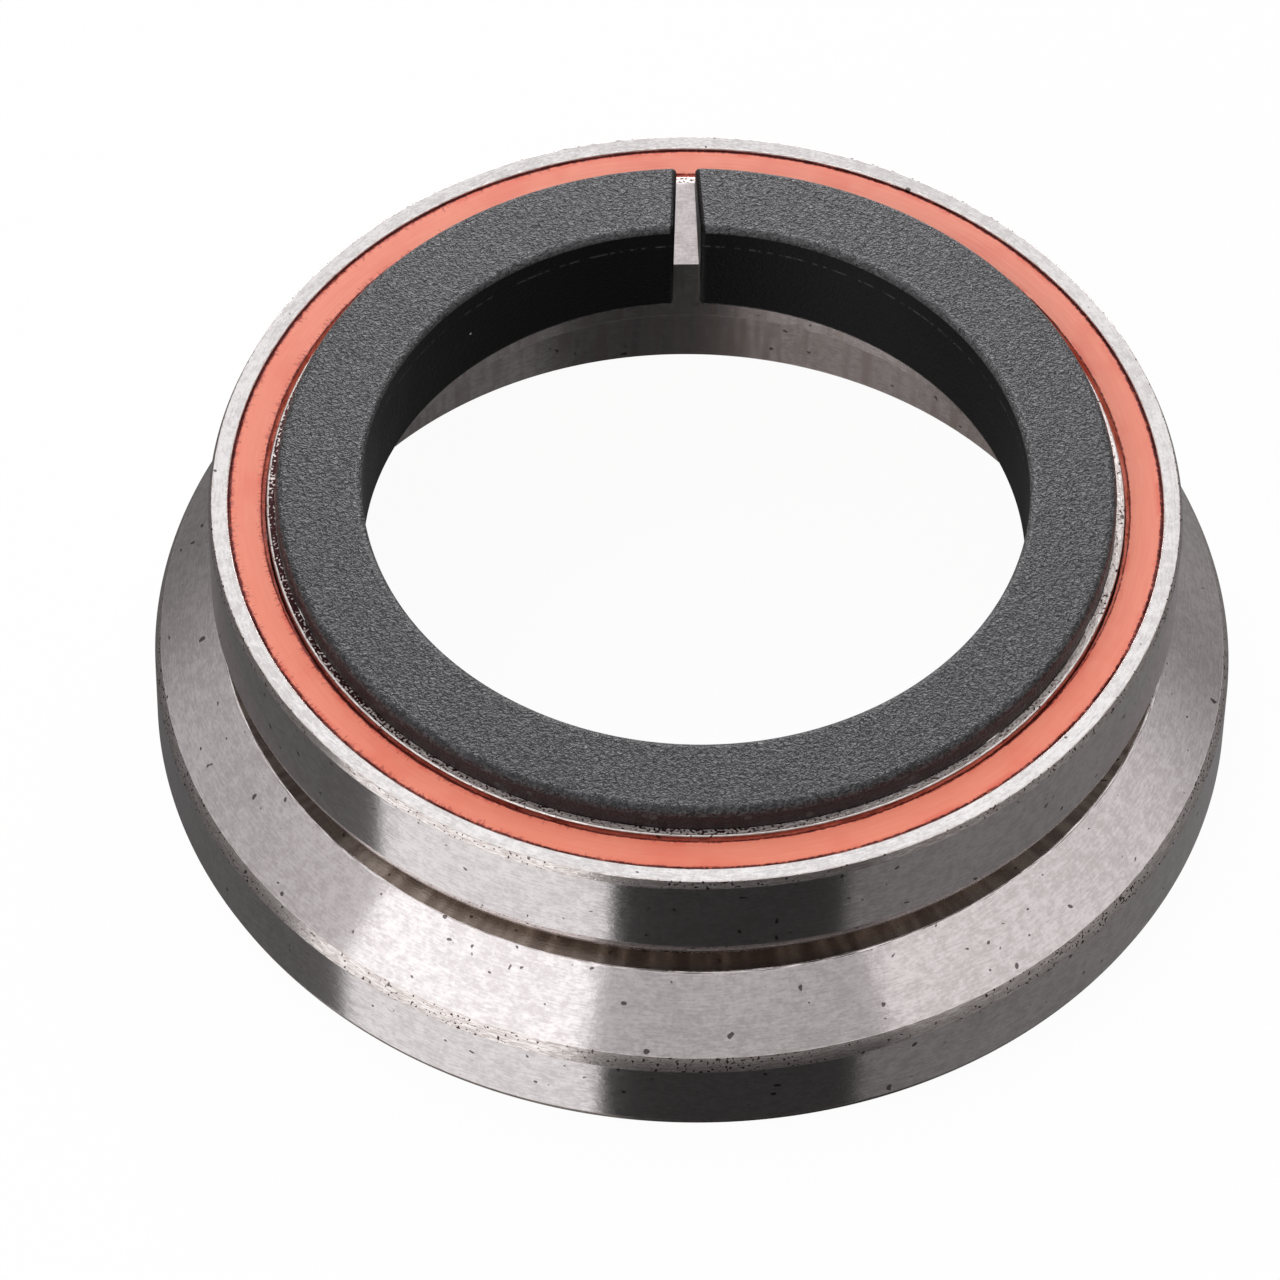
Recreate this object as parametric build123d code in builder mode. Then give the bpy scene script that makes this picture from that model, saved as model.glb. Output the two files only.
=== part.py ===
from build123d import *
from dataclasses import dataclass
from math import atan2, cos, radians, sin, sqrt, tan
import os

# A bicycle headset stacked by hand: a split compression ring in the cone of the
# upper bearing, which rests on a larger lower bearing turned over, so that its seat
# chamfer faces up. Both are sealed cartridges with angular contact. Millimetres, +Z up,
# origin at the middle of the lower bearing's bottom face, the ring's slot at +Y.

# Sizes that follow each other: the steerer passes the ring, the ring's skirt fills the
# upper bearing's bore, and the upper bearing's foot rests on the lower inner race.
steerer_bore = 28.6
skirt_wall = 0.725
ring_play = 0.05
upper_width = 5.825
upper_foot_lap = 5.0
lower_width = 5.05
upper_bore = steerer_bore + 2 * (skirt_wall + ring_play)
upper_outer = upper_bore + 2 * upper_width
lower_bore = upper_outer - upper_foot_lap
lower_outer = lower_bore + 2 * lower_width

# Upper bearing, 30.15 by 41.8 by 6.5: its cone for the ring, its chamfer for the frame.
upper_height = 6.5
upper_cone_angle = 36.0
upper_bore_chamfer = 0.7
upper_setback = 0.3
upper_seat_round = 1.2
upper_ball_count = 22

# Lower bearing, 36.8 by 46.9 by 7: the same, but its cone fits a fork's crown race.
lower_height = 7.0
lower_cone_angle = 45.0
lower_bore_chamfer = 0.3
lower_setback = 0.0
lower_seat_round = 0.9
lower_ball_count = 25

# Shares of each bearing's section: its balls and seat chamfer, the outer race's part
# of the metal beside the groove, and how far each shoulder laps the ball.
upper_ball_share = 0.5168
upper_seat_share = 0.5534
upper_wall_share = 0.336
upper_inner_lap = 0.0
upper_outer_lap = 0.0
lower_ball_share = 0.541
lower_seat_share = 0.9715
lower_wall_share = 0.6
lower_inner_lap = 0.286
lower_outer_lap = 0.758

# Races: wall between groove and seat, flat face beside the cone, and their edges.
seat_wall = 0.95
cone_land = 0.42
groove_gap = 0.06
edge_round = 0.25
fine_round = 0.08

# Rubber seals: how far they lie below each face, and their bead, lip and edges.
cone_side_sink = 0.1
seat_side_sink = 0.4
seal_share = 0.42
seal_bead = 0.12
seal_edge = 0.1
lip_gap = 0.05
lip_length = 0.15

# Ball cages: a crown with open pockets.
pocket_gap = 0.1
cage_wall = 0.9
cage_gap = 0.2

# Compression ring: it clamps the steerer when the cone pushes it in.
ring_proud = 1.17
ring_overhang = 0.03
skirt_length = 1.8
skirt_round = 0.15
ring_rim_round = 0.35
ring_bore_round = 0.3
slot_bore_width = 1.18
slot_rim_width = 0.8
slot_round = 0.22


@dataclass
class Bearing:
    """Cartridge bearing, drawn with its seat chamfer at height 0 and its cone on top."""

    bore: float
    outer: float
    height: float
    cone_angle: float
    bore_chamfer: float
    setback: float
    seat_round: float
    ball_count: int
    ball_share: float
    seat_share: float
    wall_share: float
    inner_lap: float
    outer_lap: float
    section: Plane

    def __post_init__(self):
        self.bore_radius = self.bore / 2
        self.outer_radius = self.outer / 2
        width = self.outer_radius - self.bore_radius
        section_size = width * self.height / (width + self.height)
        self.ball_radius = self.ball_share * section_size
        self.seat_chamfer = self.seat_share * section_size
        self.seat_foot = self.outer_radius - self.seat_chamfer

        self.groove_radius = self.ball_radius + groove_gap
        outer_wall = self.wall_share * (width - 2 * self.groove_radius)
        self.outer_groove = self.outer_radius - outer_wall
        self.pitch_radius = self.outer_groove - self.groove_radius
        self.inner_groove = self.pitch_radius - self.groove_radius
        self.inner_shoulder = self.pitch_radius - self.inner_lap * self.groove_radius
        self.outer_shoulder = self.pitch_radius - self.outer_lap * self.groove_radius
        self.cone_mouth = self.inner_shoulder - cone_land
        self.cone_depth = (self.cone_mouth - self.bore_radius) * tan(radians(self.cone_angle))

        seat_reach = (self.groove_radius + seat_wall) * sqrt(2)
        self.ball_height = self.seat_chamfer + seat_reach - (self.outer_radius - self.pitch_radius)
        self.head_room = self.height - self.ball_height - self.groove_radius
        self.foot_room = self.ball_height - self.groove_radius
        self.ball_level = self.section.from_local_coords(Vector(0, self.ball_height)).Z

    def groove_arc(self, radius, side):
        """Quarter of the ball groove, from a shoulder's radius to the groove's bottom."""
        rise = sqrt(self.groove_radius**2 - (radius - self.pitch_radius) ** 2)
        start = (radius, self.ball_height + side * rise)
        end = (self.pitch_radius - side * self.groove_radius, self.ball_height)
        start_angle = atan2(side * rise, radius - self.pitch_radius)
        end_angle = radians(180) if side > 0 else 0.0
        middle_angle = (start_angle + end_angle) / 2
        middle = (
            self.pitch_radius + self.groove_radius * cos(middle_angle),
            self.ball_height + self.groove_radius * sin(middle_angle),
        )
        return start, middle, end


upper = Bearing(
    bore=upper_bore,
    outer=upper_outer,
    height=upper_height,
    cone_angle=upper_cone_angle,
    bore_chamfer=upper_bore_chamfer,
    setback=upper_setback,
    seat_round=upper_seat_round,
    ball_count=upper_ball_count,
    ball_share=upper_ball_share,
    seat_share=upper_seat_share,
    wall_share=upper_wall_share,
    inner_lap=upper_inner_lap,
    outer_lap=upper_outer_lap,
    section=Plane(origin=(0, 0, lower_height), x_dir=(1, 0, 0), z_dir=(0, -1, 0)),
)

lower = Bearing(
    bore=lower_bore,
    outer=lower_outer,
    height=lower_height,
    cone_angle=lower_cone_angle,
    bore_chamfer=lower_bore_chamfer,
    setback=lower_setback,
    seat_round=lower_seat_round,
    ball_count=lower_ball_count,
    ball_share=lower_ball_share,
    seat_share=lower_seat_share,
    wall_share=lower_wall_share,
    inner_lap=lower_inner_lap,
    outer_lap=lower_outer_lap,
    section=Plane(origin=(0, 0, lower_height), x_dir=(1, 0, 0), z_dir=(0, 1, 0)),
)


@dataclass
class SealSeat:
    """Where one seal lies: its heights, and the race walls on both sides of it."""

    face: float
    back: float
    outer_wall: float
    inner_wall: float

    def bead(self):
        """Snap groove of the outer race, which the seal's bead fills, face side first."""
        drop = self.back - self.face
        return [
            (self.outer_wall, self.face + 0.25 * drop),
            (self.outer_wall + seal_bead, self.face + 0.4 * drop),
            (self.outer_wall + seal_bead, self.face + 0.7 * drop),
            (self.outer_wall, self.face + 0.85 * drop),
        ]


def cone_side_seat(bearing):
    face = bearing.height - cone_side_sink
    return SealSeat(
        face=face,
        back=face - seal_share * bearing.head_room,
        outer_wall=bearing.outer_groove,
        inner_wall=bearing.inner_shoulder,
    )


def seat_side_seat(bearing):
    return SealSeat(
        face=seat_side_sink,
        back=seat_side_sink + seal_share * (bearing.foot_room - seat_side_sink),
        outer_wall=bearing.outer_shoulder,
        inner_wall=bearing.inner_groove,
    )


def nearest(sketch, point):
    """The corner of a profile that lies at a point."""
    return sketch.vertices().sort_by_distance(point)[0]


def outer_race(bearing):
    """Outer race: cylinder, 45 degree seat chamfer, ball groove and two seal grooves."""
    arc = bearing.groove_arc(bearing.outer_shoulder, -1)
    mouth = (bearing.outer_groove, bearing.height)
    rim = (bearing.outer_radius, bearing.height)
    belt = (bearing.outer_radius, bearing.seat_chamfer)
    foot = (bearing.seat_foot, 0)
    land = (bearing.outer_shoulder, 0)
    with BuildPart() as race:
        with BuildSketch(bearing.section) as profile:
            with BuildLine():
                ThreePointArc(*arc)
                Polyline(arc[2], *reversed(cone_side_seat(bearing).bead()), mouth, rim, belt)
                Polyline(belt, foot, land, *seat_side_seat(bearing).bead(), arc[0])
            make_face()
            fillet(nearest(profile, rim), edge_round)
            fillet(nearest(profile, belt), bearing.seat_round)
            fillet([nearest(profile, foot), nearest(profile, mouth)], fine_round)
        revolve(axis=Axis.Z)
    return race


def inner_race(bearing):
    """Inner race: bore, internal cone on one side, ball groove on the other side."""
    arc = bearing.groove_arc(bearing.inner_shoulder, 1)
    mouth = (bearing.cone_mouth, bearing.height)
    land = (bearing.inner_shoulder, bearing.height)
    foot = (bearing.inner_groove, bearing.setback)
    entry = (bearing.bore_radius + bearing.bore_chamfer, bearing.setback)
    bore_foot = (bearing.bore_radius, bearing.setback + bearing.bore_chamfer)
    bore_head = (bearing.bore_radius, bearing.height - bearing.cone_depth)
    with BuildPart() as race:
        with BuildSketch(bearing.section) as profile:
            with BuildLine():
                ThreePointArc(*arc)
                Polyline(arc[2], foot, entry, bore_foot, bore_head, mouth, land, arc[0])
            make_face()
            fillet([nearest(profile, mouth), nearest(profile, land)], fine_round)
        revolve(axis=Axis.Z)
    return race


def seal(bearing, seat):
    """Rubber seal: its bead snaps into the outer race, its lip wipes the inner race."""
    drop = seat.back - seat.face
    edge = seal_edge if drop > 0 else -seal_edge
    lip = seat.inner_wall + lip_gap
    crown = lip + lip_length
    with BuildPart() as ring:
        with BuildSketch(bearing.section):
            with BuildLine():
                Polyline(
                    (seat.outer_wall - seal_edge, seat.face),
                    (seat.outer_wall, seat.face + edge),
                    *seat.bead(),
                    (seat.outer_wall, seat.back),
                    (crown, seat.back),
                    (lip, seat.face + 0.75 * drop),
                    (lip, seat.face + 0.4 * drop),
                    (crown, seat.face + 0.4 * drop),
                    (crown, seat.face),
                    close=True,
                )
            make_face()
        revolve(axis=Axis.Z)
    return ring


def ball_cage(bearing):
    """Crown cage: a base ring beside the balls, with fingers that reach between them."""
    finger_low = bearing.ball_height - 0.8 * bearing.ball_radius
    base_low = bearing.ball_height + 0.6 * bearing.ball_radius
    base_high = cone_side_seat(bearing).back - cage_gap
    finger_in = bearing.pitch_radius - cage_wall / 2
    finger_out = bearing.pitch_radius + cage_wall / 2
    base_in = bearing.pitch_radius + cage_gap
    base_out = bearing.outer_groove - cage_gap
    with BuildPart() as cage:
        with BuildSketch(bearing.section):
            with BuildLine():
                Polyline(
                    (finger_in, finger_low),
                    (finger_out, finger_low),
                    (finger_out, base_low),
                    (base_out, base_low + cage_wall / 2),
                    (base_out, base_high),
                    (base_in, base_high),
                    (base_in, base_low + cage_wall / 2),
                    (finger_in, base_low),
                    close=True,
                )
            make_face()
        revolve(axis=Axis.Z)
        with Locations((0, 0, bearing.ball_level)):
            with PolarLocations(bearing.pitch_radius, bearing.ball_count):
                Sphere(bearing.ball_radius + pocket_gap, mode=Mode.SUBTRACT)
    return cage


def ball(bearing, index):
    """One ball in its pocket, counted round from +X."""
    with BuildPart() as sphere:
        with Locations((0, 0, bearing.ball_level)):
            with PolarLocations(bearing.pitch_radius, 1, start_angle=index * 360 / bearing.ball_count):
                Sphere(bearing.ball_radius)
    return sphere


def save(piece, name):
    piece.part.label = name
    export_step(piece.part, f"parts/{name}.step")


# Compression ring: its cone lies in the upper bearing's cone, its skirt in the bore.
stack_top = lower_height + upper_height
ring_top = stack_top + ring_proud
ring_bore = steerer_bore / 2
ring_rim = upper.cone_mouth + ring_overhang
skirt_radius = upper.bore_radius - ring_play
cone_slope = tan(radians(upper_cone_angle))
rim_foot = stack_top + ring_overhang * cone_slope
skirt_head = stack_top - (upper.cone_mouth - skirt_radius) * cone_slope
skirt_foot = skirt_head - skirt_length

with BuildPart() as compression_ring:
    with BuildSketch(Plane.YZ) as ring_profile:
        with BuildLine():
            Polyline(
                (ring_bore, ring_top),
                (ring_rim, ring_top),
                (ring_rim, rim_foot),
                (skirt_radius, skirt_head),
                (skirt_radius, skirt_foot),
                (ring_bore, skirt_foot),
                close=True,
            )
        make_face()
        fillet(nearest(ring_profile, (ring_rim, ring_top)), ring_rim_round)
        fillet(nearest(ring_profile, (ring_bore, ring_top)), ring_bore_round)
        fillet(nearest(ring_profile, (skirt_radius, skirt_foot)), skirt_round)
        fillet(nearest(ring_profile, (ring_bore, skirt_foot)), skirt_round)
    revolve(axis=Axis.Z)

    # The slot narrows towards the rim, so that it closes evenly on the steerer.
    ring_wall = ring_rim - ring_bore
    slot_taper = (slot_bore_width - slot_rim_width) / 2
    with BuildSketch(Plane.XY.offset(ring_top)):
        with BuildLine():
            Polyline(
                (-slot_bore_width / 2 - slot_taper, ring_bore - ring_wall),
                (slot_bore_width / 2 + slot_taper, ring_bore - ring_wall),
                (slot_rim_width / 2 - slot_taper, ring_rim + ring_wall),
                (-slot_rim_width / 2 + slot_taper, ring_rim + ring_wall),
                close=True,
            )
        make_face()
    extrude(amount=skirt_foot - ring_top, mode=Mode.SUBTRACT)

    # Its walls have rounded edges all the way round, apart from the sharp cone.
    slot_walls = compression_ring.faces(Select.LAST).filter_by(GeomType.PLANE)
    fillet(slot_walls.edges().filter_by(GeomType.HYPERBOLA, reverse=True), slot_round)

os.makedirs("parts", exist_ok=True)
save(compression_ring, "compression_ring")
for level, bearing in (("upper", upper), ("lower", lower)):
    cone_seal = "top_seal" if bearing is upper else "bottom_seal"
    seat_seal = "bottom_seal" if bearing is upper else "top_seal"
    save(outer_race(bearing), f"{level}_outer_race")
    save(inner_race(bearing), f"{level}_inner_race")
    save(seal(bearing, cone_side_seat(bearing)), f"{level}_{cone_seal}")
    save(seal(bearing, seat_side_seat(bearing)), f"{level}_{seat_seal}")
    save(ball_cage(bearing), f"{level}_ball_cage")
    for index in range(bearing.ball_count):
        save(ball(bearing, index), f"{level}_ball_{index + 1:02d}")
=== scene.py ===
from collections import namedtuple
from functools import cached_property
from math import asin, atan2, ceil, cos, degrees, hypot, pi, radians, sin, sqrt, tan

import bmesh
import bpy
from bpy.props import FloatProperty, FloatVectorProperty, IntProperty, PointerProperty
from mathutils import Matrix, Vector, noise


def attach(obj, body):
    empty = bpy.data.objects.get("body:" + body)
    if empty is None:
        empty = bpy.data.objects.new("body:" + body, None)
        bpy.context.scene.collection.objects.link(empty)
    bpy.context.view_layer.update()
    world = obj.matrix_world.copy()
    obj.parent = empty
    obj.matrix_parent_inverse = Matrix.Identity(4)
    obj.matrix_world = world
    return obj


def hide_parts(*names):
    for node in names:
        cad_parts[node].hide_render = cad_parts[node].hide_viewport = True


bl_info = {
    "name": "Bicycle headset",
    "version": (1, 0, 0),
    "blender": (4, 5, 0),
    "location": "View3D > Sidebar > Headset",
    "description": "Two sealed bearings and a split compression ring, stacked by hand",
    "category": "Add Mesh",
}

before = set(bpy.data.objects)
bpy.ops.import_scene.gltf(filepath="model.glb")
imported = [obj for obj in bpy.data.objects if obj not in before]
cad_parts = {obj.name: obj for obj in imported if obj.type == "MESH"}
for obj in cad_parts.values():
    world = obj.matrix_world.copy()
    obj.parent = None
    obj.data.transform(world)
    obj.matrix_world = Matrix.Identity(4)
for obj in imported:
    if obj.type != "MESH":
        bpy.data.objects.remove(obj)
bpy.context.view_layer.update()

MM = 0.001
EASE = 0.04 * MM  # width over which one skin of a profile gives way to the next
WELD = 0.0001 * MM  # points that lie closer than this are one
SAME_PLACE = 0.000001 * MM  # the shortest step along a profile that has a direction
ARC_STEP = 9  # widest turn between two points of a rounded corner, in degrees
CREASE = 28  # sharpest turn that still shades as a smooth one, in degrees
GROWN_CREASE = 30  # the same, in what a node tree has made


# Settings

def length(name, description, millimetres):
    return FloatProperty(name=name, description=description, default=millimetres * MM,
                         unit="LENGTH", precision=5)


def share(name, description, value):
    return FloatProperty(name=name, description=description, default=value,
                         min=0.0, soft_max=1.0, subtype="FACTOR")


def angle(name, description, value):
    return FloatProperty(name=name, description=description, default=radians(value),
                         subtype="ANGLE")


def colour(name, description, value):
    return FloatVectorProperty(name=name, description=description, default=value,
                               size=3, min=0.0, max=1.0, subtype="COLOR")


class UpperBearingSizes(bpy.types.PropertyGroup):
    """Sizes of the upper bearing, whose cone faces up"""

    bore_radius: length("Bore radius", "Inner race's bore", 15.075)
    outer_radius: length("Outer radius", "Outer race's cylinder", 20.9)
    height: length("Height", "From face to face", 6.5)
    cone_angle: angle("Cone angle", "Slope of the inner race's cone", 36.0)
    bore_chamfer: length("Bore chamfer", "Chamfer at the far end of the bore", 0.7)
    setback: length("Setback", "How far the inner race stops short of the foot", 0.3)
    ball_share: share("Ball share", "Ball radius as a share of the section", 0.5168)
    seat_share: share("Seat share", "Seat chamfer as a share of the section", 0.5534)
    seat_round: length("Seat round", "Unground edge between cylinder and seat chamfer", 1.2)
    wall_share: share("Wall share", "Outer race's part of the metal beside the groove", 0.336)
    inner_lap: share("Inner lap", "How far the inner shoulder laps the ball", 0.0)
    outer_lap: share("Outer lap", "How far the outer shoulder laps the ball", 0.0)
    ball_count: IntProperty(name="Balls", description="Balls in the cage", default=22, min=3)


class LowerBearingSizes(bpy.types.PropertyGroup):
    """Sizes of the lower bearing, which is turned over, so that its cone faces down"""

    bore_radius: length("Bore radius", "Inner race's bore", 18.4)
    outer_radius: length("Outer radius", "Outer race's cylinder", 23.45)
    height: length("Height", "From face to face", 7.0)
    cone_angle: angle("Cone angle", "Slope of the inner race's cone", 45.0)
    bore_chamfer: length("Bore chamfer", "Chamfer at the far end of the bore", 0.3)
    setback: length("Setback", "How far the inner race stops short of the foot", 0.0)
    ball_share: share("Ball share", "Ball radius as a share of the section", 0.541)
    seat_share: share("Seat share", "Seat chamfer as a share of the section", 0.9715)
    seat_round: length("Seat round", "Unground edge between cylinder and seat chamfer", 0.9)
    wall_share: share("Wall share", "Outer race's part of the metal beside the groove", 0.6)
    inner_lap: share("Inner lap", "How far the inner shoulder laps the ball", 0.286)
    outer_lap: share("Outer lap", "How far the outer shoulder laps the ball", 0.758)
    ball_count: IntProperty(name="Balls", description="Balls in the cage", default=25, min=3)


class CommonSizes(bpy.types.PropertyGroup):
    """Walls, edges and clearances that both bearings share"""

    seat_wall: length("Seat wall", "Metal between ball groove and seat chamfer", 0.95)
    cone_land: length("Cone land", "Flat face beside the inner race's cone", 0.42)
    groove_gap: length("Groove gap", "Room between ball and groove", 0.06)
    edge_step: length("Edge step", "Outer edge of the plain face, inwards", 0.13)
    edge_drop: length("Edge drop", "Outer edge of the plain face, along the cylinder", 0.34)
    edge_fullness: share("Edge fullness", "How round the unground edges are, from flat to a full arc", 0.45)
    fine_round: length("Fine round", "Small edges of the races", 0.08)
    keen_round: length("Keen round", "Keenest edges of races and seals", 0.04)
    dull_round: length("Dull round", "Edges of the races' hidden sides", 0.05)
    bore_round: length("Bore round", "Ends of the inner race's bore", 0.06)
    foot_stray: length("Foot stray", "How far the outer race's foot wanders as it turns", 0.03)
    cone_stray: length("Cone stray", "How far the cone's mouth wanders", 0.02)
    cone_side_sink: length("Cone side sink", "Seal's depth below the plain face", 0.1)
    seat_side_sink: length("Seat side sink", "Seal's depth below the seat's face", 0.4)
    seal_share: share("Seal share", "Seal's thickness, of the room beside the balls", 0.42)
    seal_bead: length("Seal bead", "How far the seal snaps into the outer race", 0.12)
    seal_edge: length("Seal edge", "Round of the seal's outer edge", 0.1)
    lip_gap: length("Lip gap", "Room between the seal's lip and the inner race", 0.05)
    lip_length: length("Lip length", "Width of the thin lip", 0.15)
    lip_round: length("Lip round", "Inner corner of the lip", 0.02)
    seal_stray: length("Seal stray", "How far the seal's edges wander", 0.03)
    cage_wall: length("Cage wall", "Thickness of the cage's fingers", 0.9)
    cage_gap: length("Cage gap", "Room beside the cage", 0.2)
    cage_round: length("Cage round", "Edges of the cage", 0.12)
    pocket_gap: length("Pocket gap", "Room between ball and pocket", 0.1)
    turns: IntProperty(name="Facets around", description="Steps round each turned piece",
                       default=456, min=24)


class RingSizes(bpy.types.PropertyGroup):
    """Sizes of the split compression ring"""

    bore_radius: length("Bore radius", "Fits the steerer", 14.3)
    proud: length("Proud", "How far it stands above the upper bearing", 1.17)
    overhang: length("Overhang", "How far its rim passes the cone's mouth", 0.03)
    play: length("Play", "Room round the skirt in the inner race's bore", 0.05)
    skirt_length: length("Skirt length", "Cylinder below the cone", 1.8)
    skirt_round: length("Skirt round", "Bottom edges of the skirt", 0.15)
    rim_round: length("Rim round", "Outer top edge", 0.35)
    foot_round: length("Foot round", "Edge between rim and cone", 0.05)
    bore_round: length("Bore round", "Inner top edge", 0.3)
    slot_at_bore: length("Slot at the bore", "Slot's width on the inside", 1.18)
    slot_at_rim: length("Slot at the rim", "Slot's width on the outside", 0.8)
    slot_round: length("Slot round", "Edges of the slot's walls", 0.22)
    seam: length("Seam", "Moulding seam's depth in the bore, below the top", 1.17)


class Finishes(bpy.types.PropertyGroup):
    """Colours and relief of the object's surfaces"""

    steel_light: colour("Steel, light", "Ground steel where it is clean", (0.79, 0.73, 0.73))
    steel_dark: colour("Steel, dark", "Ground steel in the grinding marks", (0.60, 0.545, 0.545))
    skin_light: colour("Turned skin, light", "Unground edges, rubbed", (0.79, 0.73, 0.715))
    skin_dark: colour("Turned skin, dark", "Unground edges, in the turning marks", (0.47, 0.405, 0.385))
    # Painted shade: these two dark browns colour the seat-side lands, which lie in the shade under the other
    # bearing.
    scale_light: colour("Painted shade, light", "Unground faces, where the scale is thin", (0.38, 0.33, 0.285))
    scale_dark: colour("Painted shade, dark", "Unground faces", (0.22, 0.18, 0.155))
    specks_dark: colour("Specks", "Dark specks on turned lands", (0.05, 0.018, 0.02))
    dents: colour("Dents", "Small dents in the steel", (0.06, 0.045, 0.042))
    rubber: colour("Rubber", "The seals", (0.88, 0.24, 0.15))
    rubber_pale: colour("Rubber, pale", "Turning streaks of the seals", (0.93, 0.30, 0.20))
    rubber_frayed: colour("Rubber, frayed", "Torn flash at the seals' edges", (0.40, 0.045, 0.035))
    rubber_deep: colour("Rubber, deep", "Thick or bruised places of the seals", (0.78, 0.11, 0.06))
    # Partly painted shade: the dark line at the seals' edges stands for the flash and for the shade in the
    # gap beside it.
    rubber_edge: colour("Rubber, edge", "Flash and gap at the seals' edges", (0.15, 0.022, 0.02))
    ring: colour("Ring", "Moulded compression ring", (0.008, 0.0078, 0.0082))
    ring_rubbed: colour("Ring, rubbed", "Tops of its grain", (0.062, 0.060, 0.061))
    # Partly painted highlight: the rubbed edges are lightened beyond their wear.
    ring_edge: colour("Ring, edge", "Its rubbed edges", (0.19, 0.188, 0.19))
    ring_side: colour("Ring, side", "Its side wall", (0.017, 0.0085, 0.009))
    # Painted shade: the bore and slot walls are darker than the ring's own black.
    ring_inside: colour("Ring, inside", "Its bore and slot", (0.004, 0.004, 0.004))
    ring_gloss: colour("Ring, gloss", "Tint of its gloss", (0.95, 0.945, 1.0))
    dust: colour("Dust", "Dust on the ring", (0.62, 0.58, 0.56))
    cage: colour("Cage", "Moulded ball cages", (0.66, 0.60, 0.47))
    cage_deep: colour("Cage, deep", "Darker clouds of the cages", (0.60, 0.53, 0.40))
    ball: colour("Ball", "Polished balls", (0.78, 0.78, 0.79))
    ball_greased: colour("Ball, greased", "Balls where the grease is thick", (0.70, 0.69, 0.66))
    steel_relief: length("Steel relief", "Depth of the marks in the steel", 0.0022)
    rubber_relief: length("Rubber relief", "Depth of the seals' streaks", 0.02)
    ring_relief: length("Ring relief", "Depth of the ring's grain", 0.13)
    cage_relief: length("Cage relief", "Depth of the cages' grain", 0.006)
    ball_relief: length("Ball relief", "Depth of the film on the balls", 0.002)


class StudioSettings(bpy.types.PropertyGroup):
    """Camera, lamps and backdrop"""

    lens: FloatProperty(name="Lens", description="Focal length", default=253.1, subtype="DISTANCE_CAMERA")
    distance: length("Distance", "Camera to the aimed point", 385.8)
    azimuth: angle("Azimuth", "Camera's turn about the axis", -2.1)
    elevation: angle("Elevation", "Camera's height above the horizon", 51.11)
    roll: angle("Roll", "Camera's turn about its own line of sight", 1.09)
    aim_right: length("Aim right", "Aimed point, right of the upper bearing's middle", -2.392)
    aim_up: length("Aim up", "Aimed point, above the upper bearing's middle", -6.151)
    fill: FloatProperty(name="Fill", description="Even light from all round", default=0.45, min=0.0)
    key: FloatProperty(name="Key", description="Brightness of the key softbox", default=1.45, min=0.0)
    top: FloatProperty(name="Top", description="Brightness of the overhead softbox", default=1.3, min=0.0)
    floor: colour("Floor", "Plain pale floor", (0.97, 0.97, 0.97))
    floor_white: share("Floor white", "How much of the seen floor is its own white", 0.95)
    floor_half: length("Floor half", "Half the floor's width", 2000.0)
    floor_gap: length("Floor gap", "Room between the floor and the object", 0.02)


class HeadsetSettings(bpy.types.PropertyGroup):
    """Everything about the headset that can be set"""

    upper: PointerProperty(type=UpperBearingSizes)
    lower: PointerProperty(type=LowerBearingSizes)
    common: PointerProperty(type=CommonSizes)
    ring: PointerProperty(type=RingSizes)
    finishes: PointerProperty(type=Finishes)
    studio: PointerProperty(type=StudioSettings)


def settings():
    return bpy.context.scene.headset


# Turned shapes

# A corner of a profile: its place, its round, the skin on that round and on the face after
# it, how far it may wander as the piece turns, and how full its round is. The skin of steel
# is -1 in a bore, 0 where it is ground, 1 as turned and 2 on the seat-side lands, whose dark
# brown is painted shade. The skin of the ring is 1 where it is rubbed and lightened, partly as
# a painted highlight, -1 on its side wall, and -2 in its bore and slot, darkened as painted shade.
Corner = namedtuple("Corner", "r z round skin face stray full", defaults=(0.0, 0.0, 0.0, 0.0, 1.0))

# A point of a finished profile. A crease keeps the faces beside it apart.
Point = namedtuple("Point", "r z skin stray crease")


class Section:
    """One bearing's radii and heights, with height 0 at its seat chamfer."""

    def __init__(self, sizes, common, base, up):
        self.sizes, self.common, self.base, self.up = sizes, common, base, up
        self.bore = sizes.bore_radius
        self.outer = sizes.outer_radius
        self.height = sizes.height
        width = self.outer - self.bore
        size = width * self.height / (width + self.height)
        self.ball = sizes.ball_share * size
        self.seat = sizes.seat_share * size
        self.seat_foot = self.outer - self.seat

        self.groove = self.ball + common.groove_gap
        self.outer_groove = self.outer - sizes.wall_share * (width - 2 * self.groove)
        self.pitch = self.outer_groove - self.groove
        self.inner_groove = self.pitch - self.groove
        self.inner_shoulder = self.pitch - sizes.inner_lap * self.groove
        self.outer_shoulder = self.pitch - sizes.outer_lap * self.groove
        self.cone_mouth = self.inner_shoulder - common.cone_land
        self.cone_depth = (self.cone_mouth - self.bore) * tan(sizes.cone_angle)

        reach = (self.groove + common.seat_wall) * sqrt(2)
        self.ball_height = self.seat + reach - (self.outer - self.pitch)
        self.head_room = self.height - self.ball_height - self.groove
        self.foot_room = self.ball_height - self.groove

    def level(self, height):
        return self.base + self.up * height

    def place(self, corners):
        return [c._replace(z=self.level(c.z)) for c in corners]

    def groove_arc(self, radius, side, steps=14):
        """The ball groove, from a shoulder's radius to its bottom."""
        rise = sqrt(max(self.groove ** 2 - (radius - self.pitch) ** 2, 0.0))
        start = atan2(side * rise, radius - self.pitch)
        end = pi if side > 0 else 0.0
        turns = [start + (end - start) * i / steps for i in range(steps + 1)]
        return [Corner(self.pitch + self.groove * cos(t), self.ball_height + self.groove * sin(t))
                for t in turns]


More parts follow.
